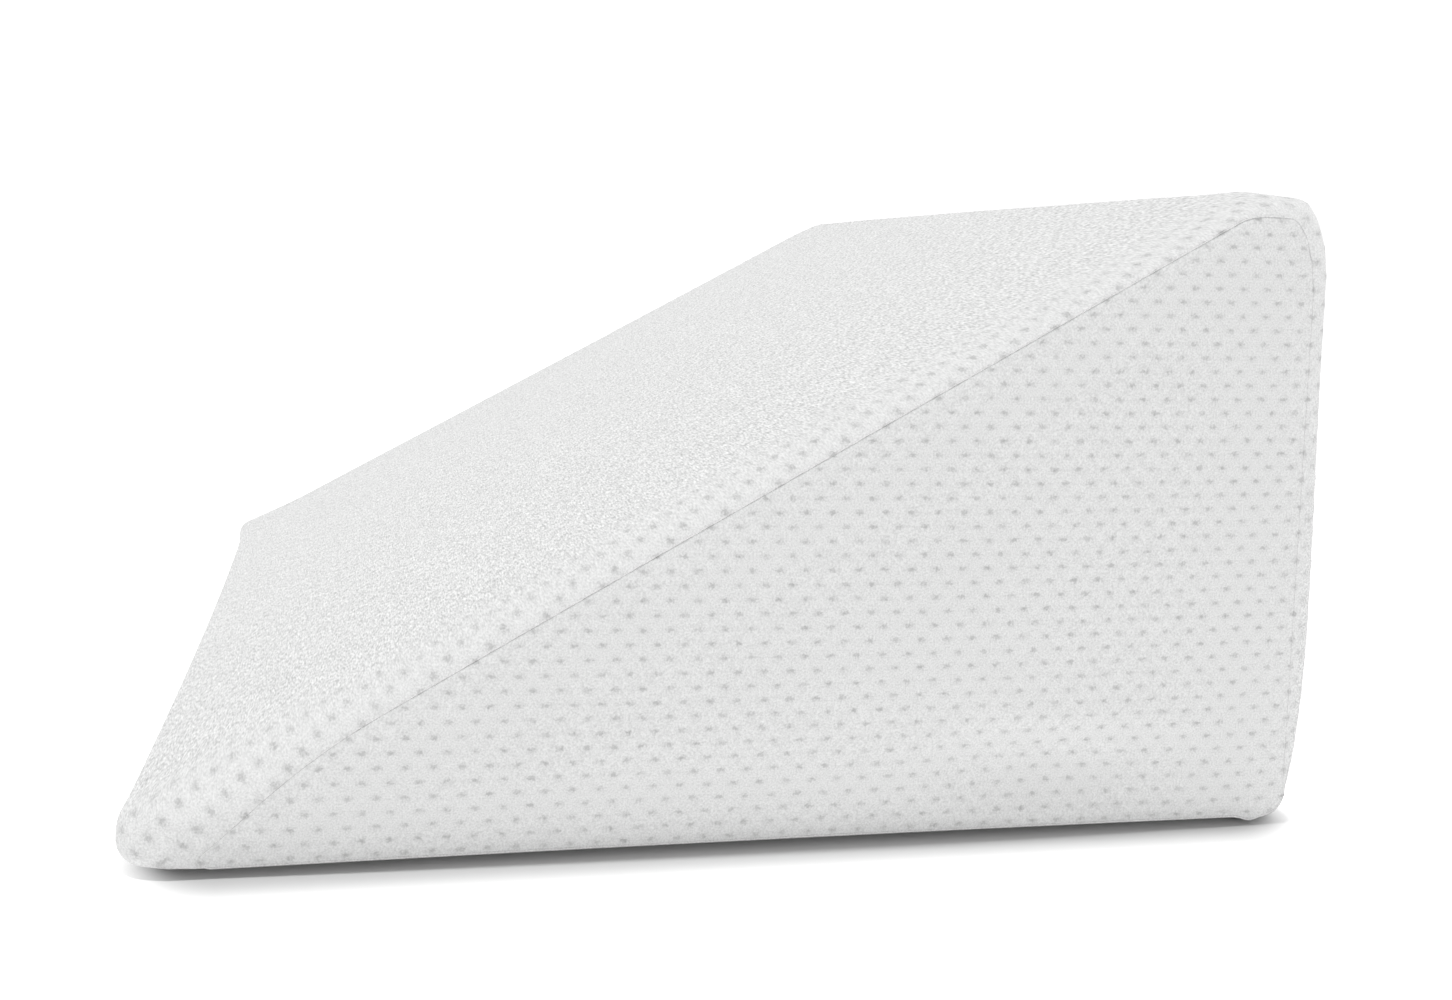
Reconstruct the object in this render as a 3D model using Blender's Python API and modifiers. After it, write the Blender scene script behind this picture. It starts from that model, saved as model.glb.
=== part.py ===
"""Wedge pillow: a foam wedge in a knit cover, lying on its flat base.

The cover is one wrap-round panel, which runs over the slope, the ridge, the back and the base,
and one side panel sewn in at each end. The wrap-round panel and the filling are one solid, with
a shallow seat at each end in which a side panel lies, its edge on the seam.

Metres, +X from the thin toe to the tall back, +Y from the near end to the far end, +Z up. The
origin is the middle of the footprint, on the surface that the pillow lies on.
"""
import math
from collections import namedtuple

import bmesh
import bpy
from mathutils import Vector

# Driving sizes of the pillow
LENGTH = 0.618
WIDTH = 0.660
TOE_THICKNESS = 0.0248
SLOPE_DEG = 28.19

# How far the packed foam stands out at the middle of a face, and how far an edge is drawn in
SLOPE_SWELL = 0.0046
BACK_SWELL = 0.0050
SIDE_SWELL = 0.0060
TOE_DRAW = 0.0055
SIDE_DRAW = 0.0020

# The ridge is blunt: the slope ends short of the back, and the crown falls a little from there
CROWN_LENGTH = 0.0377
CROWN_DROP = 0.0058
SEAM_CROWN_LENGTH = 0.0361
SEAM_CROWN_DROP = 0.0016

# The seam of a side panel, measured in from the faces of the wrap-round panel
SEAM_FROM_BACK = 0.0157
SEAM_ABOVE_BASE = 0.0055
SEAM_FROM_TOE = 0.0369
SEAM_BELOW_RIDGE = 0.0154
SEAM_SLOPE_DEG = 29.23
SHOULDER_FROM_TOE = 0.086
SEAM_SHOULDER_FROM_TOE = 0.096
SEAM_TOE_RUN = 0.017
SEAM_TOE_RISE = 0.0141

# How flat the underside stays where it leaves the seam, and the height that this reaches up to
UNDERSIDE_HOLD = 0.75
UNDERSIDE_HEIGHT = 0.004

# The side panels, and the seats that they lie in
PANEL_THICKNESS = 0.0025
CLEARANCE = 0.0003
SEAT_DEPTH = PANEL_THICKNESS + CLEARANCE

# How finely the soft form is divided
END_STEPS = 5
WIDTH_STEPS = 10
PANEL_RINGS = (0.0, 0.05, 0.14, 0.3, 0.55, 0.8)

# Share of the way in from the seam at which a hollow has its full depth
HOLLOW_EDGE = 0.1

KNIT_COLOUR = (0.86, 0.87, 0.86, 1.0)
KNIT_ROUGHNESS = 0.95

TOE_X = -LENGTH / 2
BACK_X = LENGTH / 2 - BACK_SWELL
SLOPE = math.tan(math.radians(SLOPE_DEG))
SEAM_SLOPE = math.tan(math.radians(SEAM_SLOPE_DEG))
RIDGE_Z = TOE_THICKNESS + SLOPE * (BACK_X - TOE_X)
SEAM_RIDGE_X = BACK_X - SEAM_FROM_BACK
SEAM_RIDGE_Z = RIDGE_Z - SEAM_BELOW_RIDGE
SEAM_Y = WIDTH / 2 - SIDE_SWELL + SIDE_DRAW


def slope_z(x):
    """Height of the sloping face over a place along the pillow."""
    return TOE_THICKNESS + SLOPE * (x - TOE_X)


def seam_z(x):
    """Height of the straight seam under the sloping face."""
    return SEAM_RIDGE_Z + SEAM_SLOPE * (x - SEAM_RIDGE_X)


shoulder_x = TOE_X + SHOULDER_FROM_TOE
seam_shoulder_x = TOE_X + SEAM_SHOULDER_FROM_TOE
seam_toe_x = TOE_X + SEAM_FROM_TOE
crown_x = BACK_X - CROWN_LENGTH
seam_crown_x = SEAM_RIDGE_X - SEAM_CROWN_LENGTH
SHOULDER = (shoulder_x, slope_z(shoulder_x))
CROWN = (crown_x, slope_z(crown_x))
BROW = (BACK_X, slope_z(crown_x) - CROWN_DROP)
SEAM_HEEL = (SEAM_RIDGE_X, SEAM_ABOVE_BASE)
SEAM_TOE = (seam_toe_x, SEAM_ABOVE_BASE)
SEAM_TOE_TOP = (seam_toe_x + SEAM_TOE_RUN, SEAM_ABOVE_BASE + SEAM_TOE_RISE)
SEAM_SHOULDER = (seam_shoulder_x, seam_z(seam_shoulder_x))
SEAM_CROWN = (seam_crown_x, seam_z(seam_crown_x))
SEAM_BROW = (SEAM_RIDGE_X, seam_z(seam_crown_x) - SEAM_CROWN_DROP)

# One row for each corner of the section: heel, toe, top of the toe, shoulder, crown and brow.
# wrap is the corner on the wrap-round panel and seam the one on the side panel's seam. The
# rounds are the lengths that a rounding takes up of the straight runs before and after it. The
# turns are how deep the wrap-round panel's end rounds over, across the pillow, where the
# rounding starts and where it ends. The steps are those of the rounding, and of the run on.
Corner = namedtuple("Corner", "wrap wrap_rounds seam seam_rounds turns round_steps run_steps")
CORNERS = (
    Corner((BACK_X, 0.0), (0.1246, 0.0131), SEAM_HEEL, (0.012, 0.012), (0.0093, 0.0192), 8, 8),
    Corner((TOE_X, 0.0), (0.0213, 0.0040), SEAM_TOE, (0.008, 0.008), (0.0285, 0.0285), 5, 1),
    Corner((TOE_X, TOE_THICKNESS), (0.0095, 0.0095), SEAM_TOE_TOP, (0.012, 0.012), (0.0242, 0.0242), 4, 3),
    Corner(SHOULDER, (0.020, 0.020), SEAM_SHOULDER, (0.0358, 0.0358), (0.0281, 0.0281), 4, 10),
    Corner(CROWN, (0.0353, 0.0051), SEAM_CROWN, (0.0078, 0.0126), (0.0337, 0.0337), 5, 2),
    Corner(BROW, (0.0124, 0.0400), SEAM_BROW, (0.0154, 0.0410), (0.0251, 0.0143), 6, 4),
)

# Shallow hollows in the side panels: which end (-1 near, 1 far), middle, half sizes and depth
Hollow = namedtuple("Hollow", "end x z half_x half_z depth")
HOLLOWS = (
    Hollow(-1, 0.165, 0.036, 0.100, 0.031, 0.0035),
    Hollow(1, -0.030, 0.040, 0.120, 0.040, 0.0020),
)


def eased(share):
    """A share from 0 to 1 that starts and ends gently."""
    return (1 - math.cos(math.pi * share)) / 2


def rounded_loop(points, rounds):
    """The corners joined by straight runs and round turns, as one closed loop of points."""
    loop = []
    count = len(points)
    for index, corner in enumerate(CORNERS):
        here = Vector(points[index])
        before = (Vector(points[index - 1]) - here).normalized()
        after = (Vector(points[(index + 1) % count]) - here).normalized()
        start = here + before * rounds[index][0]
        end = here + after * rounds[index][1]
        weight = math.cos((math.pi - before.angle(after)) / 2)
        for step in range(corner.round_steps + 1):
            t = step / corner.round_steps
            a, b, c = (1 - t) ** 2, 2 * weight * t * (1 - t), t ** 2
            loop.append((a * start + b * here + c * end) / (a + b + c))
        following = (index + 1) % count
        next_start = Vector(points[following]) - after * rounds[following][0]
        for step in range(1, corner.run_steps):
            loop.append(end.lerp(next_start, step / corner.run_steps))
    return loop


def turn_in_loop():
    """Depth of the rounded end at each point of the loops, eased from corner to corner."""
    depths = []
    for index, corner in enumerate(CORNERS):
        start, end = corner.turns
        next_start = CORNERS[(index + 1) % len(CORNERS)].turns[0]
        for step in range(corner.round_steps + 1):
            depths.append(start + (end - start) * eased(step / corner.round_steps))
        for step in range(1, corner.run_steps):
            depths.append(end + (next_start - end) * eased(step / corner.run_steps))
    return depths


def filled(x, y, z):
    """Moves a point of the plain wedge to where the packed foam and the taut cover hold it."""
    across = max(0.0, 1 - (y / SEAM_Y) ** 2)
    along = (x - TOE_X) / (BACK_X - TOE_X)
    lift = SLOPE_SWELL * across * math.sin(math.pi * along) * z / slope_z(x)
    back = BACK_SWELL * across * math.sin(math.pi * min(z / RIDGE_Z, 1)) * along ** 4
    toe = TOE_DRAW * across * (1 - along) ** 6
    drawn = 1 - SIDE_DRAW / SEAM_Y * math.sin(math.pi * along)
    return Vector((x + back + toe, y * drawn, z + lift))


def side_offset(end, x, z, inward):
    """How far a side panel stands out at a point, inward being 0 on its seam and 1 at its middle."""
    offset = SIDE_SWELL * (1 - (1 - inward) ** 2)
    for hollow in HOLLOWS:
        reach = math.hypot((x - hollow.x) / hollow.half_x, (z - hollow.z) / hollow.half_z)
        if hollow.end == end and reach < 1:
            offset -= hollow.depth * (1 - reach ** 2) ** 2 * min(1, inward / HOLLOW_EDGE)
    return offset


def side_rings(end, inset, depth):
    """Rings of a side panel's face from its edge inwards, and its middle point."""
    middle = sum(SEAM_LOOP, Vector((0, 0))) / len(SEAM_LOOP)
    rings = []
    for inward in PANEL_RINGS:
        ring = []
        for index, edge in enumerate(SEAM_LOOP):
            run = SEAM_LOOP[(index + 1) % len(SEAM_LOOP)] - SEAM_LOOP[index - 1]
            normal = Vector((run.y, -run.x)).normalized()
            place = (edge + normal * inset).lerp(middle, inward)
            stand = side_offset(end, place.x, place.y, inward) - depth
            ring.append(filled(place.x, end * (SEAM_Y + stand), place.y))
        rings.append(ring)
    stand = side_offset(end, middle.x, middle.y, 1) - depth
    return rings, filled(middle.x, end * (SEAM_Y + stand), middle.y)


def body_rings(end):
    """Rings of the filled wedge from the middle of one end's seat out to the wrap-round face."""
    seat, tip = side_rings(end, 0.0, SEAT_DEPTH)
    rings = list(reversed(seat))
    for step in range(END_STEPS + 1):
        angle = math.pi / 2 * step / END_STEPS
        ring = []
        for wrap, seam, turn_in in zip(WRAP_LOOP, SEAM_LOOP, TURN_IN):
            under = max(0.0, 1 - wrap.y / UNDERSIDE_HEIGHT)
            hold = UNDERSIDE_HOLD * under * (1 - math.sin(angle))
            place = seam.lerp(wrap, math.sin(angle) * (1 - hold))
            y = SEAM_Y - turn_in * (1 - math.cos(angle))
            ring.append(filled(place.x, end * y, place.y))
        rings.append(ring)
    return rings, tip


def middle_rings():
    """Rings of the wrap-round face between its two rounded ends."""
    rings = []
    for step in range(1, WIDTH_STEPS):
        share = 1 - 2 * step / WIDTH_STEPS
        ring = []
        for wrap, turn_in in zip(WRAP_LOOP, TURN_IN):
            ring.append(filled(wrap.x, -share * (SEAM_Y - turn_in), wrap.y))
        rings.append(ring)
    return rings


def skin(name, rings, tips, turn_at=0):
    """A mesh of triangles that joins the rings in turn and closes on each tip that is given.

    Before ring turn_at the rings run outwards from the first tip and after it inwards. The
    diagonals turn round there, so that a seat and the panel in it are cut into like triangles.
    """
    bm = bmesh.new()
    loops = [[bm.verts.new(point) for point in ring] for ring in rings]
    count = len(loops[0])
    for number, (first, second) in enumerate(zip(loops, loops[1:])):
        for index in range(count):
            following = (index + 1) % count
            a, b, c, d = first[index], first[following], second[following], second[index]
            if number < turn_at:
                bm.faces.new((a, b, d))
                bm.faces.new((b, c, d))
            else:
                bm.faces.new((a, b, c))
                bm.faces.new((a, c, d))
    for tip, loop in tips:
        point = bm.verts.new(tip)
        for index in range(count):
            edge = [loops[loop][index], loops[loop][(index + 1) % count]]
            if loop == 0:
                edge.reverse()
            bm.faces.new((point, *edge))
    mesh = bpy.data.meshes.new(name)
    bm.to_mesh(mesh)
    bm.free()
    return mesh


def knit_material(name, shade):
    """White knit, a little darker or lighter from piece to piece."""
    material = bpy.data.materials.new(name)
    material.use_nodes = True
    shader = material.node_tree.nodes["Principled BSDF"]
    red, green, blue, alpha = KNIT_COLOUR
    shader.inputs["Base Color"].default_value = (red * shade, green * shade, blue * shade, alpha)
    shader.inputs["Roughness"].default_value = KNIT_ROUGHNESS
    shader.inputs["Metallic"].default_value = 0.0
    return material


def add_piece(name, mesh, shade):
    """Puts a mesh in the pillow's collection as a smooth-shaded piece with its own material."""
    piece = bpy.data.objects.new(name, mesh)
    pillow.objects.link(piece)
    mesh.materials.append(knit_material(name, shade))
    mesh.shade_smooth()
    mesh.set_sharp_from_angle(angle=math.radians(50))
    return piece


for old in list(bpy.data.objects):
    bpy.data.objects.remove(old, do_unlink=True)

pillow = bpy.data.collections.new("wedge_pillow")
bpy.context.scene.collection.children.link(pillow)

WRAP_LOOP = rounded_loop([corner.wrap for corner in CORNERS], [corner.wrap_rounds for corner in CORNERS])
SEAM_LOOP = rounded_loop([corner.seam for corner in CORNERS], [corner.seam_rounds for corner in CORNERS])
TURN_IN = turn_in_loop()

# The filled wedge: foam in the wrap-round panel, one closed solid
near_rings, near_tip = body_rings(-1)
far_rings, far_tip = body_rings(1)
rings = near_rings + middle_rings() + list(reversed(far_rings))
tips = ((near_tip, 0), (far_tip, -1))
body_mesh = skin("filled_wedge", rings, tips, turn_at=len(rings) // 2)
add_piece("filled_wedge", body_mesh, 1.0)

# The side panels: a sheet of the same knit in each seat, sewn in round its edge
for panel_name, end in (("side_panel_near", -1), ("side_panel_far", 1)):
    rings, tip = side_rings(end, CLEARANCE, 0.0)
    panel_mesh = skin(panel_name, rings, ((tip, -1),))
    if end < 0:
        panel_mesh.flip_normals()
    panel = add_piece(panel_name, panel_mesh, 0.98)
    sheet = panel.modifiers.new("cloth_thickness", "SOLIDIFY")
    sheet.thickness = PANEL_THICKNESS
    sheet.offset = -1.0
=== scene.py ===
"""Wedge pillow: a foam wedge in a white dimpled knit cover, lying on its flat base."""
import math

import bpy
import numpy as np
from mathutils import Matrix, Vector
from mathutils.geometry import delaunay_2d_cdt


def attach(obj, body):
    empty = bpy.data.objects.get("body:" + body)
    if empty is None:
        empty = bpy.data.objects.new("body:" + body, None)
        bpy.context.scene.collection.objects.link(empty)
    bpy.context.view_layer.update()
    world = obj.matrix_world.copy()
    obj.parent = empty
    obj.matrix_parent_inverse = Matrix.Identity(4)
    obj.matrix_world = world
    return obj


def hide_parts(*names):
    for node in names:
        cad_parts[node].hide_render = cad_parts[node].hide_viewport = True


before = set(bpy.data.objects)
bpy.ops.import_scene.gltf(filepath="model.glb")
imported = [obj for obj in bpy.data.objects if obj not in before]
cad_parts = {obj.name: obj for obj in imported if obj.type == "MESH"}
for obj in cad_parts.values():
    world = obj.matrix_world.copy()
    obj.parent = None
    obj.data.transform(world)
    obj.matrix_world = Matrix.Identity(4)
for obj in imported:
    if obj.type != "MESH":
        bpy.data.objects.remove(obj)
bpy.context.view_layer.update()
bpy.ops.object.select_all(action="DESELECT")

# The wrap-round panel: one strip of knit that runs over the slope, the ridge, the back and the
# base, pulled tight over the foam wedge. Its two long edges are sewn to the side panels with a
# plain seam, so the foam's rounded edges lie under this strip and the seam lies on the sides.
LENGTH = 0.618
WIDTH = 0.660
TOE_THICKNESS = 0.0248
SLOPE = math.tan(math.radians(28.19))
SLOPE_SWELL = 0.0046
BACK_SWELL = 0.0050
SIDE_SWELL = 0.0060
TOE_DRAW = 0.0040
FAR_EAR = 0.0040
FAR_EAR_START = 0.235
SIDE_DRAW = 0.0020
BACK_FADE = 4
TOE_FADE = 6
TOE_X = -LENGTH / 2
BACK_X = LENGTH / 2 - BACK_SWELL
RIDGE_Z = TOE_THICKNESS + SLOPE * (BACK_X - TOE_X)
SEAM_Y = WIDTH / 2 - SIDE_SWELL + SIDE_DRAW
SEAM_BACK_X = BACK_X - 0.0157
SEAM_BASE_Z = 0.0055
SEAM_TOE_X = TOE_X + 0.0369
SEAM_SLOPE = math.tan(math.radians(29.23))
SEAM_RIDGE_Z = RIDGE_Z - 0.0154


def slope_z(x):
    """Height of the sloping face over a place along the pillow."""
    return TOE_THICKNESS + SLOPE * (x - TOE_X)


def seam_z(x):
    """Height of the straight seam under the sloping face."""
    return SEAM_RIDGE_Z + SEAM_SLOPE * (x - SEAM_BACK_X)


SHOULDER_X = TOE_X + 0.086
SEAM_SHOULDER_X = TOE_X + 0.096
CROWN_X = BACK_X - 0.0377
SEAM_CROWN_X = SEAM_BACK_X - 0.0361
SHOULDER = (SHOULDER_X, slope_z(SHOULDER_X))
CROWN = (CROWN_X, slope_z(CROWN_X))
BROW = (BACK_X, slope_z(CROWN_X) - 0.0058)
SEAM_TOE_TOP = (SEAM_TOE_X + 0.017, SEAM_BASE_Z + 0.0141)
SEAM_SHOULDER = (SEAM_SHOULDER_X, seam_z(SEAM_SHOULDER_X))
SEAM_CROWN = (SEAM_CROWN_X, seam_z(SEAM_CROWN_X))
SEAM_BROW = (SEAM_BACK_X, seam_z(SEAM_CROWN_X) - 0.0016)
SECTION = (
    # wrap corner, lengths its rounding takes before and after it, seam corner, lengths of its
    # rounding, how deep the panel's end rounds over where the rounding starts and where it ends
    ((BACK_X, 0.0), (0.1246, 0.0131), (SEAM_BACK_X, SEAM_BASE_Z), (0.012, 0.012), (0.0093, 0.0192)),
    ((TOE_X, 0.0), (0.0260, 0.0090), (SEAM_TOE_X, SEAM_BASE_Z), (0.012, 0.009), (0.0285, 0.0285)),
    ((TOE_X, TOE_THICKNESS), (0.0120, 0.0070), SEAM_TOE_TOP, (0.012, 0.012), (0.0242, 0.0242)),
    (SHOULDER, (0.020, 0.020), SEAM_SHOULDER, (0.0358, 0.0358), (0.0281, 0.0281)),
    (CROWN, (0.0353, 0.0051), SEAM_CROWN, (0.0078, 0.0126), (0.0337, 0.0337)),
    (BROW, (0.0124, 0.0400), SEAM_BROW, (0.0154, 0.0410), (0.0251, 0.0143)),
)
UNDERSIDE_HOLD = 0.75
UNDERSIDE_HEIGHT = 0.004

# How square the toe's near and far corners are, and how far along the pillow that reaches
TOE_SQUARENESS = {-1: 0.22, 1: 0.62}
TOE_REACH = 0.060
LOOP_STEPS = 60


def rounded_loop(corners, rounds):
    """The corners joined by straight runs and round turns, each in the same number of steps."""
    loop = []
    corners = [np.array(corner) for corner in corners]
    t = np.linspace(0, 1, LOOP_STEPS, endpoint=False)[:, None]
    for index, here in enumerate(corners):
        following = (index + 1) % len(corners)
        before = corners[index - 1] - here
        before /= np.linalg.norm(before)
        after = corners[following] - here
        after /= np.linalg.norm(after)
        start = here + before * rounds[index][0]
        end = here + after * rounds[index][1]
        weight = math.cos((math.pi - math.acos(np.clip(before @ after, -1, 1))) / 2)
        a, b, c = (1 - t) ** 2, 2 * weight * t * (1 - t), t ** 2
        loop.append((a * start + b * here + c * end) / (a + b + c))
        next_start = corners[following] - after * rounds[following][0]
        loop.append(end + t * (next_start - end))
    return np.concatenate(loop)


def eased_loop(turns):
    """The depths of the rounded end, eased round each corner and along the runs between."""
    loop = []
    ease = (1 - np.cos(np.pi * np.linspace(0, 1, LOOP_STEPS, endpoint=False))) / 2
    for index, (start, end) in enumerate(turns):
        next_start = turns[(index + 1) % len(turns)][0]
        loop += [start + (end - start) * ease, end + (next_start - end) * ease]
    return np.concatenate(loop)


def filled(x, y, z):
    """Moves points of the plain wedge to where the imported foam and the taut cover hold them."""
    across = np.maximum(0.0, 1 - (y / SEAM_Y) ** 2)
    along = np.clip((x - TOE_X) / (BACK_X - TOE_X), 0, 1)
    lift = SLOPE_SWELL * across * np.sin(np.pi * along) * z / slope_z(x)
    back = BACK_SWELL * across * np.sin(np.pi * np.clip(z / RIDGE_Z, 0, 1)) * along ** BACK_FADE
    ear = FAR_EAR * np.clip((y - FAR_EAR_START) / (SEAM_Y - FAR_EAR_START), 0, 1) ** 2
    toe = (TOE_DRAW * across - ear) * (1 - along) ** TOE_FADE
    drawn = 1 - SIDE_DRAW / SEAM_Y * np.sin(np.pi * along)
    return np.stack([x + back + toe, y * drawn, z + lift], axis=-1)


# The knit's cells, with a dimple at the corner and the middle of each, as they lie on the sides
CELL_LONG = 0.01332
CELL_HIGH = 0.01400
DIMPLE_X = 0.0217
DIMPLE_Z = 0.0987
DIMPLE_RADIUS = 0.0022
STEPS_PER_CELL = 4


def dimple(u, v):
    """Depth from 0 to 1 of the knit's dimples at a place in cells."""
    depth = 0.0
    for offset in (0.0, 0.5):
        across = ((u + offset + 0.5) % 1 - 0.5) * CELL_LONG
        up = ((v + offset + 0.5) % 1 - 0.5) * CELL_HIGH
        depth = depth + np.exp(-(across ** 2 + up ** 2) / DIMPLE_RADIUS ** 2)
    return depth


def side_dimple(x, z):
    """Depth of the dimples where the knit's rows follow the side of the pillow."""
    return dimple((x - DIMPLE_X) / CELL_LONG, (z - DIMPLE_Z) / CELL_HIGH)


wrap_dense = rounded_loop([row[0] for row in SECTION], [row[1] for row in SECTION])
seam_dense = rounded_loop([row[2] for row in SECTION], [row[3] for row in SECTION])
turn_dense = eased_loop([row[4] for row in SECTION])
steps = np.linalg.norm(np.roll(wrap_dense, -1, axis=0) - wrap_dense, axis=1)
travelled = np.concatenate([[0], np.cumsum(steps)])
CELLS = round(travelled[-1] / CELL_LONG)
COLUMNS = STEPS_PER_CELL * CELLS

# The columns lie closer together round the corners, as if each turn were a longer way round
TURN_LENGTH = 0.03
headings = np.roll(wrap_dense, -1, axis=0) - wrap_dense
headings = headings[:, 0] + 1j * headings[:, 1]
turning = np.abs(np.angle(headings / np.roll(headings, 1)))
effort = np.concatenate([[0], np.cumsum(steps + TURN_LENGTH * turning)])
places = np.interp(np.arange(COLUMNS) / COLUMNS * effort[-1], effort, travelled)
column_at = places / travelled[-1] * CELLS


def resampled(dense):
    """A dense loop of points or values, read at the knit's columns."""
    closed = np.concatenate([dense, dense[:1]])
    if closed.ndim == 1:
        return np.interp(places, travelled, closed)
    return np.stack([np.interp(places, travelled, closed[:, axis]) for axis in (0, 1)], axis=1)


wrap_loop, seam_loop, turn_in = resampled(wrap_dense), resampled(seam_dense), resampled(turn_dense)
seam_run = np.roll(seam_loop, -1, axis=0) - np.roll(seam_loop, 1, axis=0)
seam_run /= np.linalg.norm(seam_run, axis=1)[:, None]
seam_inward = np.stack([seam_run[:, 1], -seam_run[:, 0]], axis=1)

# The seam is pulled in at every stitch of the dimpled knit, less so along the base and toe, and
# most where it turns down the back
SEAM_DEPTH = 0.00055
SEAM_LIP = ((0.0, 1.0), (0.0004, 0.55), (0.0011, 0.10))
SEAM_WALL = 0.0068
BETWEEN_STITCHES = 0.08
LOOSEST_STITCH = 0.35
TOE_SEAM_FADE = 0.14
BASE_SEAM_FADE = 0.03
BASE_SEAM_SHARE = 0.3
BACK_SEAM_END = 0.045
BACK_SEAM_FADE = 0.02
BACK_SEAM_SHARE = 0.25
BACK_TURN = 0.008
TURN_TIGHTNESS = 1.7
tightness = np.random.default_rng(7).uniform(LOOSEST_STITCH, 1.0, CELLS)[column_at.astype(int)]
stitches = 0.5 + 0.5 * np.cos(2 * np.pi * column_at)
pull = BETWEEN_STITCHES + (1 - BETWEEN_STITCHES) * stitches * tightness
past_toe = np.clip((seam_loop[:, 0] - SEAM_TOE_X) / TOE_SEAM_FADE, 0, 1)
over_base = np.clip(seam_loop[:, 1] / BASE_SEAM_FADE, BASE_SEAM_SHARE, 1)
up_back = (seam_loop[:, 1] - SEAM_BROW[1] + BACK_SEAM_END) / BACK_SEAM_FADE
up_back = TURN_TIGHTNESS * np.clip(up_back, BACK_SEAM_SHARE, 1)
at_back = np.where(seam_loop[:, 0] > SEAM_BACK_X - BACK_TURN, up_back, 1)
seam_depth = SEAM_DEPTH * pull * past_toe * over_base * at_back

ROUND_ROWS = 12
MIDDLE_ROWS = 168


def ended(end):
    """Rows of the panel from the wall behind a seam out over the rounded end."""
    rows = [filled(seam_loop[:, 0], np.full(COLUMNS, end * (SEAM_Y - SEAM_WALL)), seam_loop[:, 1])]
    for out, drop in SEAM_LIP:
        place = seam_loop - seam_inward * out
        rows.append(filled(place[:, 0], end * (SEAM_Y - seam_depth * drop), place[:, 1]))
    under = np.clip(1 - wrap_loop[:, 1] / UNDERSIDE_HEIGHT, 0, 1)
    square = 1 - TOE_SQUARENESS[end] * np.clip(1 - (wrap_loop[:, 0] - TOE_X) / TOE_REACH, 0, 1)
    for step in range(1, ROUND_ROWS + 1):
        angle = math.pi / 2 * step / ROUND_ROWS
        hold = UNDERSIDE_HOLD * under * (1 - math.sin(angle))
        place = seam_loop + (wrap_loop - seam_loop) * (math.sin(angle) ** square * (1 - hold))[:, None]
        depth = turn_in * (1 - math.cos(angle)) ** (1 / square)
        rows.append(filled(place[:, 0], end * (SEAM_Y - depth), place[:, 1]))
    return rows


middle = []
for step in range(1, MIDDLE_ROWS):
    share = 1 - 2 * step / MIDDLE_ROWS
    middle.append(filled(wrap_loop[:, 0], -share * (SEAM_Y - turn_in), wrap_loop[:, 1]))
near_rows = ended(-1)
cover = np.array(near_rows + middle + ended(1)[::-1])
ROWS = len(cover)
END_ROWS = len(near_rows)
rows_in = np.minimum(np.arange(ROWS), ROWS - 1 - np.arange(ROWS))


def mesh_object(name, points, faces):
    """A smooth mesh piece from its points and faces."""
    mesh = bpy.data.meshes.new(name)
    mesh.from_pydata(points, [], faces)
    mesh.shade_smooth()
    piece = bpy.data.objects.new(name, mesh)
    bpy.context.scene.collection.objects.link(piece)
    return piece


def tube_faces(rows, columns):
    """Quads between the rows of a closed tube, and a wall over each end."""
    first = np.arange((rows - 1) * columns).reshape(rows - 1, columns)
    following = np.roll(first, -1, axis=1)
    quads = np.stack([first, first + columns, following + columns, following], axis=2)
    near_wall = list(range(columns))
    far_wall = list(range(rows * columns - 1, (rows - 1) * columns - 1, -1))
    return quads.reshape(-1, 4).tolist() + [near_wall, far_wall]


def outward(grid):
    """Unit normals of a grid whose columns close up."""
    along_row = np.roll(grid, -1, axis=1) - np.roll(grid, 1, axis=1)
    normal = np.cross(np.gradient(grid, axis=0), along_row)
    return normal / np.linalg.norm(normal, axis=2)[:, :, None]


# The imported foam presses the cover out. A coarse copy of the cover, a little too small, is
# simulated as cloth under pressure with its seams held, and the cover follows where it settles.
SIM_SHRINK = 0.0012
SIM_CAP = 0.0030
SIM_COLUMN_STEP = 4
SIM_ROW_STEP = 6
SIM_PRESSURE = 4.0
SIM_FRAMES = 20
SIM_SMOOTHING = 6
seam_row = 1
half_round = ROUND_ROWS // 2
picked = [seam_row, END_ROWS - 1 - half_round, END_ROWS - 1]
picked += list(range(END_ROWS - 1 + SIM_ROW_STEP, ROWS - END_ROWS, SIM_ROW_STEP))
picked += [ROWS - END_ROWS, ROWS - END_ROWS + half_round, ROWS - 1 - seam_row]
shrunk = cover - outward(cover) * SIM_SHRINK
shrunk[[seam_row, ROWS - 1 - seam_row]] = cover[[seam_row, ROWS - 1 - seam_row]]
coarse = shrunk[picked][:, ::SIM_COLUMN_STEP]
count = coarse.shape[1]
bag = mesh_object("foam_pressure", coarse.reshape(-1, 3), tube_faces(len(picked), count))
held = bag.vertex_groups.new(name="held")
last_row = (len(picked) - 1) * count
held.add(list(range(count)) + list(range(last_row, last_row + count)), 1.0, "REPLACE")
cloth = bag.modifiers.new("cloth", "CLOTH")
cloth.settings.use_pressure = True
cloth.settings.uniform_pressure_force = SIM_PRESSURE
cloth.settings.vertex_group_mass = held.name
cloth.settings.effector_weights.gravity = 0.0
for number in range(1, SIM_FRAMES + 1):
    bpy.context.scene.frame_set(number)
settled = bag.evaluated_get(bpy.context.evaluated_depsgraph_get()).to_mesh()
moved = np.empty(len(settled.vertices) * 3)
settled.vertices.foreach_get("co", moved)
moved = moved.reshape(coarse.shape) - coarse
bpy.data.objects.remove(bag, do_unlink=True)
bpy.context.scene.frame_set(1)
resting = coarse[:, :, 2] < TOE_THICKNESS
moved[resting, 2] = np.maximum(moved[resting, 2], 0)
far = np.linalg.norm(moved, axis=2)
moved *= np.minimum(1, SIM_CAP / np.maximum(far, 1e-9))[:, :, None]
wide = np.concatenate([moved, moved[:, :1]], axis=1)
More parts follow.
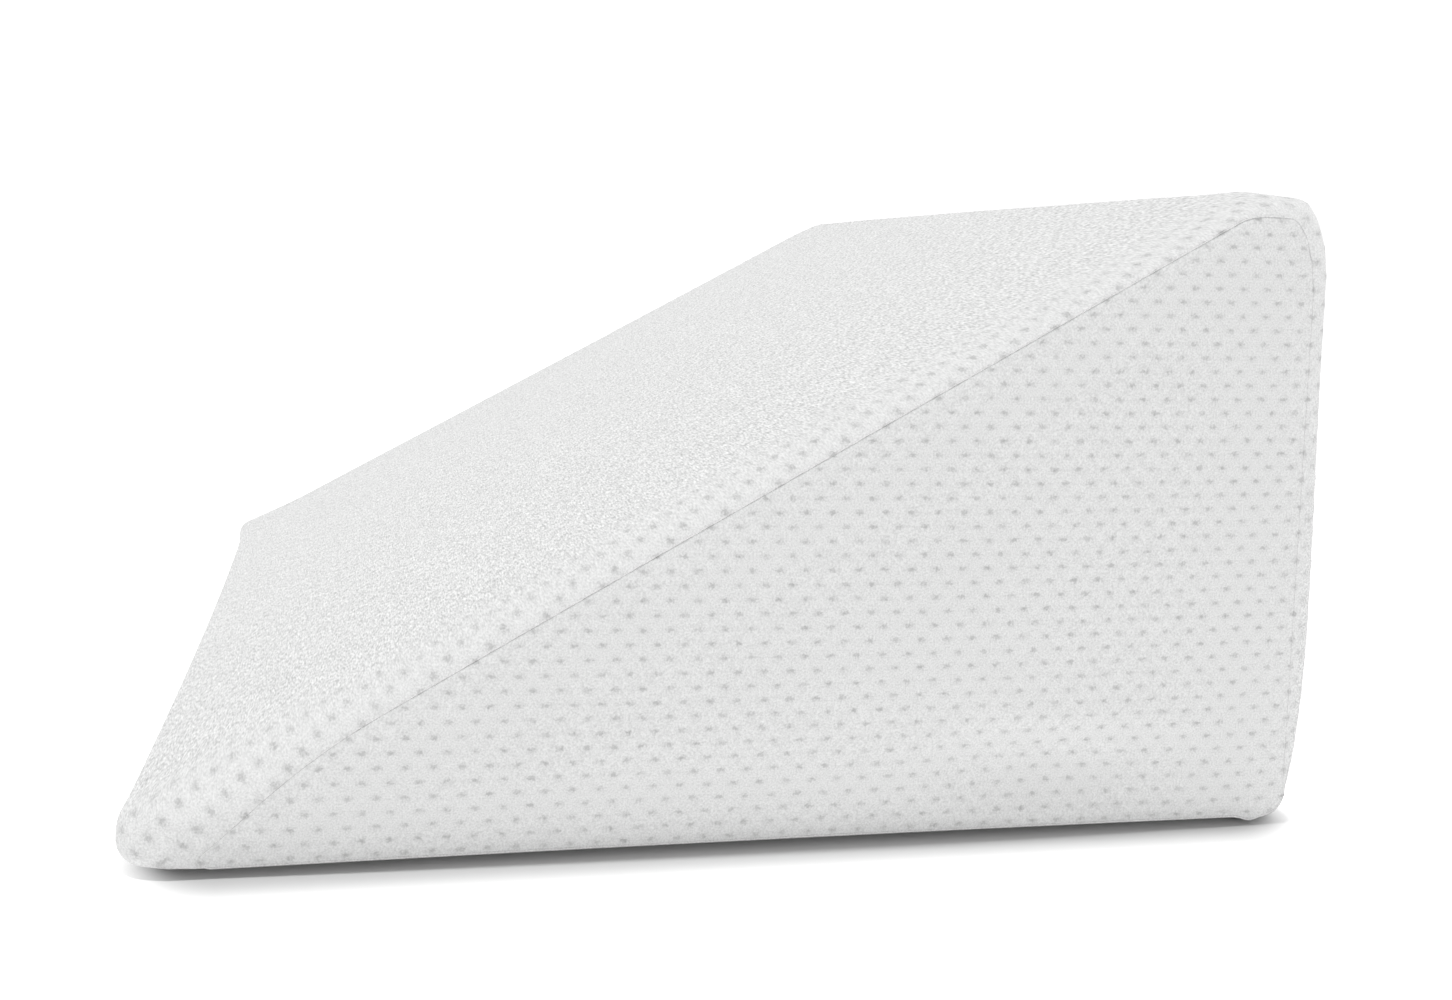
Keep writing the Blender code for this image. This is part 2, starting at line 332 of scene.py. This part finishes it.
coarse_at = np.arange(COLUMNS) / SIM_COLUMN_STEP
row_at = np.interp(np.arange(ROWS), picked, np.arange(len(picked)))
fine = np.empty((len(picked), COLUMNS, 3))
for row in range(len(picked)):
    for axis in range(3):
        fine[row, :, axis] = np.interp(coarse_at, np.arange(count + 1), wide[row, :, axis])
low = np.floor(row_at).astype(int).clip(0, len(picked) - 2)
blend = (row_at - low)[:, None, None]
spread = fine[low] * (1 - blend) + fine[low + 1] * blend
for _ in range(SIM_SMOOTHING):
    spread = (np.roll(spread, 1, axis=1) + 2 * spread + np.roll(spread, -1, axis=1)) / 4
    spread[1:-1] = (spread[:-2] + 2 * spread[1:-1] + spread[2:]) / 4
freed = np.clip(rows_in - len(SEAM_LIP), 0, ROUND_ROWS) / ROUND_ROWS
cover = cover + (spread - outward(cover) * SIM_SHRINK) * freed[:, None, None]

# A lump of seam allowance shows under the near heel corner
TUCK = (0.2700, -0.3235, 0.004)
TUCK_SIZE = (0.0050, 0.0090, 0.0060)
TUCK_DROP = 0.0024


def tucked(points):
    """Lets the cover down where the seam allowance is bunched in the corner."""
    away = (points - np.array(TUCK)) / np.array(TUCK_SIZE)
    lower = points.copy()
    lower[..., 2] -= TUCK_DROP * np.exp(-(away ** 2).sum(axis=-1))
    return lower


cover = tucked(cover)

# The side's rows of dimples go on over the seam onto the rounded edge, where the knit is stretched
# over the foam, and fade there into the strip's own rows. Both are kept as attributes, in cells.
DIMPLE_DEPTH = 0.0003
ROLLED_ROWS = 0.058
ROLLED_FADE = 0.044
TOE_ROWS = 0.030
TOE_ROWS_LENGTH = 0.10
ROLLED_STRETCH = 1.5
row_runs = np.linalg.norm(np.diff(cover, axis=0), axis=2)
row_runs[[0, -1]] = 0
past_near = np.concatenate([np.zeros((1, COLUMNS)), np.cumsum(row_runs, axis=0)])
past_seam = np.minimum(past_near, past_near[-1] - past_near)
toe_share = np.clip(1 - (cover[:, :, 0] - TOE_X) / TOE_ROWS_LENGTH, 0, 1)
on_side = np.clip((ROLLED_ROWS + TOE_ROWS * toe_share - past_seam) / ROLLED_FADE, 0, 1)
sideways = ((cover[:, :, [0, 2]] - seam_loop) * seam_run).sum(axis=2)
outwards = np.sqrt(np.maximum(past_seam ** 2 - sideways ** 2, 0)) / ROLLED_STRETCH
rolled = seam_loop + seam_run * sideways[:, :, None] - seam_inward * outwards[:, :, None]
rolled = (rolled - np.array([DIMPLE_X, DIMPLE_Z])) / np.array([CELL_LONG, CELL_HIGH])
row_at = (np.arange(ROWS) - (ROWS - 1) / 2) / STEPS_PER_CELL
sunk = dimple(rolled[:, :, 0], rolled[:, :, 1]) * on_side
sunk += dimple(column_at[None, :], row_at[:, None]) * (1 - on_side)
sunk[rows_in <= len(SEAM_LIP)] = 0
cover = cover - outward(cover) * (DIMPLE_DEPTH * sunk)[:, :, None]
cover[:, :, 2] = np.maximum(cover[:, :, 2], 0.0)
wrap_cover = mesh_object("wrap_cover", cover.reshape(-1, 3), tube_faces(ROWS, COLUMNS))
weave = np.zeros((ROWS - 1, COLUMNS, 4, 3))
column_sides = (column_at, np.append(column_at[1:], CELLS))
for corner, (row_step, column_step) in enumerate(((0, 0), (1, 0), (1, 1), (0, 1))):
    weave[:, :, corner, 0] = column_sides[column_step]
    weave[:, :, corner, 1] = row_at[row_step:ROWS - 1 + row_step, None]
weave = np.concatenate([weave.reshape(-1, 3), np.zeros((2 * COLUMNS, 3))])
layer = wrap_cover.data.attributes.new("weave", "FLOAT_VECTOR", "CORNER")
layer.data.foreach_set("vector", weave.astype(np.float32).ravel())
edge_weave = np.concatenate([rolled, on_side[:, :, None]], axis=2)
layer = wrap_cover.data.attributes.new("edge_weave", "FLOAT_VECTOR", "POINT")
layer.data.foreach_set("vector", edge_weave.astype(np.float32).ravel())


class Signal:
    """A shader socket that can be used in sums; any other node comes from make()."""

    def __init__(self, tree, socket):
        self.tree = tree
        self.socket = socket

    def make(self, kind, settings, values, output=0):
        """Adds a node of a kind, with its settings and its sockets' values or links."""
        node = self.tree.nodes.new(kind)
        for key, value in settings.items():
            setattr(node, key, value)
        for key, value in values.items():
            if isinstance(value, Signal):
                self.tree.links.new(value.socket, node.inputs[key])
            else:
                node.inputs[key].default_value = value
        return Signal(self.tree, node.outputs[output])

    def also(self, output):
        """Another output of the same node."""
        return Signal(self.tree, self.socket.node.outputs[output])

    def math(self, operation, *values):
        return self.make("ShaderNodeMath", {"operation": operation}, dict(enumerate(values)))

    def __add__(self, other):
        return self.math("ADD", self, other)

    def __radd__(self, other):
        return self.math("ADD", other, self)

    def __sub__(self, other):
        return self.math("SUBTRACT", self, other)

    def __rsub__(self, other):
        return self.math("SUBTRACT", other, self)

    def __mul__(self, other):
        return self.math("MULTIPLY", self, other)

    def __rmul__(self, other):
        return self.math("MULTIPLY", other, self)

    def __truediv__(self, other):
        return self.math("DIVIDE", self, other)

    def fraction(self):
        return self.math("FRACT", self)

    def absolute(self):
        return self.math("ABSOLUTE", self)

    def root(self):
        return self.math("SQRT", self)

    def smaller(self, other):
        return self.math("MINIMUM", self, other)

    def larger(self, other):
        return self.math("MAXIMUM", self, other)

    def noise(self, scale, detail):
        """Noise of a scale at this place, from 0 to 1."""
        return self.make("ShaderNodeTexNoise", {}, {"Vector": self, "Scale": scale, "Detail": detail})

    def ramp(self, low, high):
        """0 at low and 1 at high, eased between, either way round."""
        return self.make(
            "ShaderNodeMapRange", {"interpolation_type": "SMOOTHSTEP"},
            {"Value": self, "From Min": low, "From Max": high, "To Min": 0.0, "To Max": 1.0},
        )


# The knit's white, the painted shade in the dimples' cores and pits, the painted highlight on the
# rounded edge strip, and how much the grain and the uneven light and dark tone it
KNIT_WHITE = (0.667, 0.669, 0.667)
EDGE_PAINTED_HIGHLIGHT = 0.020
DIMPLE_PAINTED_SHADE = 0.22
PIT_PAINTED_SHADE = 0.045
FAINTEST_DIMPLE = 0.45
DIMPLE_SPREAD = 1.1
SLOPE_DIMPLE = 0.35
SIDE_GRAIN = 0.55
SLOPE_GRAIN = 1.20
CLOUD_SHADE = 0.02
# Scales of its noises, and how far the grain is drawn out across the pillow
GRAIN_SIZE = 1150.0
TUFT_SIZE = 800.0
UNEVEN_SIZE = 75.0
CLOUD_SIZE = 11.0
GRAIN_ACROSS = 0.25
# Half sizes of a dimple's core, and how far the core and its pit reach, in those sizes
DIMPLE_LONG = 0.0017
DIMPLE_HIGH = 0.0010
STRETCHED_DIMPLE = 1.4
CORE_REACH = 1.7
PIT_REACH = 3.6
PIT_MIDDLE = 0.4
RAGGEDNESS = 3.0
# Relief of the bump, as shares of its distance
GRAIN_RELIEF = 0.10
CORE_RELIEF = 0.10
TUFT_RELIEF = 0.08
BUMP_STRENGTH = 0.6
BUMP_DISTANCE = 0.001


def shaded_dimples(u, v, ragged, tall=1.0):
    """Masks for the painted shade in the dimples: dark cores with ragged edges, and the soft pits
    round them, each from 0 to 1.
    """
    nearest = None
    for offset in (0.5, 1.0):
        across = ((u + offset).fraction() - 0.5) * (CELL_LONG / DIMPLE_LONG)
        up = ((v + offset).fraction() - 0.5) * (CELL_HIGH / (DIMPLE_HIGH * tall))
        distance = (across * across + up * up).root()
        nearest = distance if nearest is None else nearest.smaller(distance)
    return (nearest + ragged).ramp(CORE_REACH, 0.0), nearest.ramp(PIT_REACH, PIT_MIDDLE)


def knit_material(name, has_weave):
    """White polyester knit with a fine grain and dimples where its two faces are tacked, painted shade
    in the dimples' cores and pits, and on the wrap a faint painted highlight on the rounded edge
    strip.
    """
    material = bpy.data.materials.new(name)
    material.use_nodes = True
    tree = material.node_tree
    shader = tree.nodes["Principled BSDF"]
    start = Signal(tree, None)
    place = start.make("ShaderNodeTexCoord", {}, {}, "Object")
    stretched = start.make(
        "ShaderNodeVectorMath", {"operation": "MULTIPLY"}, {0: place, 1: (1.0, GRAIN_ACROSS, 1.0)},
    )
    grain = stretched.noise(GRAIN_SIZE, 1.0)
    tuft = place.noise(TUFT_SIZE, 1.0)
    uneven = place.noise(UNEVEN_SIZE, 1.0)
    cloud = place.noise(CLOUD_SIZE, 2.0)
    ragged = (tuft - 0.5) * RAGGEDNESS
    if has_weave:
        rolled_on = start.make("ShaderNodeAttribute", {"attribute_name": "edge_weave"}, {}, "Vector")
        edge_u = start.make("ShaderNodeSeparateXYZ", {}, {"Vector": rolled_on})
        core, halo = shaded_dimples(edge_u, edge_u.also("Y"), ragged, STRETCHED_DIMPLE)
        strip = edge_u.also("Z")
        woven = start.make("ShaderNodeAttribute", {"attribute_name": "weave"}, {}, "Vector")
        u = start.make("ShaderNodeSeparateXYZ", {}, {"Vector": woven})
        own_core, own_halo = shaded_dimples(u, u.also("Y"), ragged)
        core = core * strip + own_core * (1 - strip) * SLOPE_DIMPLE
        halo = halo * strip + own_halo * (1 - strip)
        grain_shade = SLOPE_GRAIN - strip * (SLOPE_GRAIN - SIDE_GRAIN)
        # painted highlight: the strip over the rounded edge is drawn a little lighter
        white = 1 + strip * EDGE_PAINTED_HIGHLIGHT
    else:
        x = start.make("ShaderNodeSeparateXYZ", {}, {"Vector": place})
        core, halo = shaded_dimples(
            (x - DIMPLE_X) / CELL_LONG, (x.also("Z") - DIMPLE_Z) / CELL_HIGH, ragged,
        )
        grain_shade = SIDE_GRAIN
        white = 1.0
    strength = FAINTEST_DIMPLE + uneven * DIMPLE_SPREAD
    # painted shade in the dimples' cores and pits, unevenly deep
    dark = (core * DIMPLE_PAINTED_SHADE + halo * PIT_PAINTED_SHADE) * strength
    tone = (1 - dark) * (1 + (grain - 0.5) * grain_shade) * (1 + (cloud - 0.5) * CLOUD_SHADE) * white
    colour = start.make(
        "ShaderNodeCombineColor", {},
        {"Red": tone * KNIT_WHITE[0], "Green": tone * KNIT_WHITE[1], "Blue": tone * KNIT_WHITE[2]},
    )
    height = grain * GRAIN_RELIEF - core * CORE_RELIEF + tuft * TUFT_RELIEF
    bump = start.make(
        "ShaderNodeBump", {},
        {"Height": height, "Strength": BUMP_STRENGTH, "Distance": BUMP_DISTANCE},
    )
    tree.links.new(colour.socket, shader.inputs["Base Color"])
    tree.links.new(bump.socket, shader.inputs["Normal"])
    shader.inputs["Roughness"].default_value = 0.95
    shader.inputs["Specular IOR Level"].default_value = 0.1
    shader.inputs["Sheen Weight"].default_value = 0.08
    shader.inputs["Sheen Roughness"].default_value = 0.6
    return material


wrap_cover.data.materials.append(knit_material("wrap_knit", True))
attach(wrap_cover, "root")
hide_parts("filled_wedge")

# The side panels: a wedge-shaped piece of the same knit in each end, sewn to the wrap-round
# panel all round. The foam pushes each one out a little, and its edge rolls into the seam. The
# near one is pressed in low down towards the back.
PANEL_THICKNESS = 0.0025
SEAM_GAP = 0.00005
PANEL_STEPS_PER_CELL = 8
PANEL_MARGIN = 0.0010
HOLLOW_RIM = 0.1
HOLLOWS = (
    # end, middle x and z, half sizes along and up, depth
    (-1, 0.165, 0.036, 0.100, 0.031, 0.0045),
    (1, -0.030, 0.040, 0.120, 0.040, 0.0020),
)
panel_middle = seam_loop.mean(axis=0)
spokes = seam_loop - panel_middle
spoke_turns = np.arctan2(spokes[:, 1], spokes[:, 0])
spoke_order = np.argsort(spoke_turns)


def panel_stand(end, x, z):
    """How far a side panel stands out from the plane of its seam."""
    across, up = x - panel_middle[0], z - panel_middle[1]
    reach = np.interp(
        np.arctan2(up, across), spoke_turns[spoke_order],
        np.linalg.norm(spokes, axis=1)[spoke_order], period=2 * math.pi,
    )
    inward = 1 - np.minimum(1, np.hypot(across, up) / reach)
    stand = SIDE_SWELL * (1 - (1 - inward) ** 2)
    for side, hollow_x, hollow_z, half_x, half_z, depth in HOLLOWS:
        if side == end:
            edge = np.hypot((x - hollow_x) / half_x, (z - hollow_z) / half_z)
            pressed = depth * np.maximum(0, 1 - edge ** 2) ** 2
            stand = stand - pressed * np.minimum(1, inward / HOLLOW_RIM)
    return stand


lips = [seam_loop + seam_inward * (SEAM_GAP + out) for out, drop in SEAM_LIP]
low, high = seam_loop.min(axis=0), seam_loop.max(axis=0)
step_x, step_z = CELL_LONG / PANEL_STEPS_PER_CELL, CELL_HIGH / PANEL_STEPS_PER_CELL
first_x = DIMPLE_X + math.floor((low[0] - DIMPLE_X) / step_x) * step_x
first_z = DIMPLE_Z + math.floor((low[1] - DIMPLE_Z) / step_z) * step_z
lattice_x = np.arange(first_x, high[0], step_x)
lattice_z = np.arange(first_z, high[1], step_z)
lattice = np.stack(np.meshgrid(lattice_x, lattice_z), axis=-1)
kept = []
for block in lattice:
    away = block[:, None, :] - lips[-1][None, :, :]
    nearest = np.argmin((away ** 2).sum(axis=2), axis=1)
    depth = (away[np.arange(len(block)), nearest] * seam_inward[nearest]).sum(axis=1)
    kept.append(block[depth > PANEL_MARGIN])
flat = np.concatenate(lips + kept)
drops = np.zeros(len(flat))
for number, (out, drop) in enumerate(SEAM_LIP):
    drops[number * COLUMNS:(number + 1) * COLUMNS] = drop * seam_depth
edges = []
for number in range(len(lips)):
    ring = number * COLUMNS
    edges += [(ring + index, ring + (index + 1) % COLUMNS) for index in range(COLUMNS)]
cut = delaunay_2d_cdt([Vector(place) for place in flat], edges, [], 1, 1e-7)
triangles = [tuple(face) for face in cut[2]]
flat = np.array([tuple(place) for place in cut[0]])
drops = drops[[origin[0] for origin in cut[3]]]
side_knit = knit_material("side_knit", False)

for piece_name, node, end in (
    ("side_cover_near", "side_panel_near", -1),
    ("side_cover_far", "side_panel_far", 1),
):
    x, z = flat[:, 0], flat[:, 1]
    stand = panel_stand(end, x, z) - drops - DIMPLE_DEPTH * side_dimple(x, z) * (drops == 0)
    faces = triangles if end < 0 else [face[::-1] for face in triangles]
    panel = mesh_object(piece_name, tucked(filled(x, end * (SEAM_Y + stand), z)), faces)
    panel.data.materials.append(side_knit)
    cloth = panel.modifiers.new("cloth_thickness", "SOLIDIFY")
    cloth.thickness = PANEL_THICKNESS
    cloth.offset = -1.0
    with bpy.context.temp_override(object=panel):
        bpy.ops.object.modifier_apply(modifier=cloth.name)
    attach(panel, "root")
    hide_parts(node)

# The plain pale table that the pillow lies on. Its emission is painted light that brightens the table
# away from the pillow. It is left out in a band round the pillow's footprint, so the table there holds
# a painted shadow.
FLOOR_SIZE = 8.0
FLOOR_WHITE = 0.55
FLOOR_PAINTED_LIGHT = 0.75
PAINTED_SHADOW_INSET_END = 0.055
PAINTED_SHADOW_INSET_SIDE = 0.030
PAINTED_LIGHT_START = 0.028
PAINTED_LIGHT_FULL = 0.058
bpy.ops.mesh.primitive_plane_add(size=FLOOR_SIZE, location=(0, 0, 0))
floor = bpy.context.active_object
floor.name = "floor"
floor_material = bpy.data.materials.new("floor_white_painted_light")
floor_material.use_nodes = True
floor_tree = floor_material.node_tree
floor_shader = floor_tree.nodes["Principled BSDF"]
floor_shader.inputs["Base Color"].default_value = (FLOOR_WHITE, FLOOR_WHITE, FLOOR_WHITE, 1)
floor_shader.inputs["Roughness"].default_value = 0.9
floor_shader.inputs["Specular IOR Level"].default_value = 0.0
floor_place = Signal(floor_tree, None).make("ShaderNodeTexCoord", {}, {}, "Object")
floor_x = floor_place.make("ShaderNodeSeparateXYZ", {}, {"Vector": floor_place})
past_end = (floor_x.absolute() - (LENGTH / 2 - PAINTED_SHADOW_INSET_END)).larger(0.0)
past_side = (floor_x.also("Y").absolute() - (WIDTH / 2 - PAINTED_SHADOW_INSET_SIDE)).larger(0.0)
away = (past_end * past_end + past_side * past_side).root()
# painted light on the table, fading in with distance from the pillow's footprint; the band without it
# is a painted shadow
painted_light = away.ramp(PAINTED_LIGHT_START, PAINTED_LIGHT_FULL) * FLOOR_PAINTED_LIGHT
painted_light_colour = floor_x.make("ShaderNodeCombineColor", {}, {"Red": painted_light, "Green": painted_light, "Blue": painted_light})
floor_tree.links.new(painted_light_colour.socket, floor_shader.inputs["Emission Color"])
floor_shader.inputs["Emission Strength"].default_value = 1.0
floor.data.materials.append(floor_material)

# The soft light of a white studio, bright low down all round, with a lamp overhead
WORLD_LOW = 1.12
WORLD_HIGH = 0.50
LOW_BAND = 0.30
HIGH_BAND = 0.65
LAMP_STRENGTH = 1.80
LAMP_ANGLE = math.radians(4)
LAMP_LEAN = math.radians(1)
scene = bpy.context.scene
scene.view_settings.view_transform = "Standard"
world = bpy.data.worlds.new("studio")
world.use_nodes = True
scene.world = world
background = world.node_tree.nodes["Background"]
background.inputs["Color"].default_value = (1, 1, 1, 1)
heading = Signal(world.node_tree, None).make("ShaderNodeTexCoord", {}, {}, "Generated")
heading = heading.make("ShaderNodeSeparateXYZ", {}, {"Vector": heading})
brightness = WORLD_LOW - heading.also("Z").ramp(LOW_BAND, HIGH_BAND) * (WORLD_LOW - WORLD_HIGH)
world.node_tree.links.new(brightness.socket, background.inputs["Strength"])
lamp_data = bpy.data.lights.new("overhead_lamp", "SUN")
lamp_data.energy = LAMP_STRENGTH
lamp_data.angle = LAMP_ANGLE
lamp = bpy.data.objects.new("overhead_lamp", lamp_data)
lamp.rotation_euler = (0, LAMP_LEAN, 0)
scene.collection.objects.link(lamp)

# The camera of the photograph, fitted to the pillow's outline and dimples in its frame
IMAGE_WIDTH = 1452
IMAGE_HEIGHT = 1000
SENSOR_WIDTH = 36.0
FOCAL_PIXELS = 1198.7
AXIS_PIXEL = (528.6, 344.3)
CAMERA_PLACE = (-0.1935, -0.8777, 0.2881)
CAMERA_TURN = math.radians(-7.970)
CAMERA_TILT = math.radians(-3.934)
CAMERA_ROLL = math.radians(-1.016)
camera_data = bpy.data.cameras.new("photo_camera")
camera_data.sensor_width = SENSOR_WIDTH
camera_data.lens = FOCAL_PIXELS / IMAGE_WIDTH * SENSOR_WIDTH
camera_data.shift_x = (IMAGE_WIDTH / 2 - AXIS_PIXEL[0]) / IMAGE_WIDTH
camera_data.shift_y = (AXIS_PIXEL[1] - IMAGE_HEIGHT / 2) / IMAGE_WIDTH
camera_data.clip_start = 0.01
camera = bpy.data.objects.new("photo_camera", camera_data)
scene.collection.objects.link(camera)
turned = Matrix.Rotation(CAMERA_TURN, 4, "Z") @ Matrix.Rotation(CAMERA_TILT, 4, "X")
turned = turned @ Matrix.Rotation(CAMERA_ROLL, 4, "Y") @ Matrix.Rotation(math.pi / 2, 4, "X")
camera.matrix_world = Matrix.Translation(CAMERA_PLACE) @ turned
scene.camera = camera
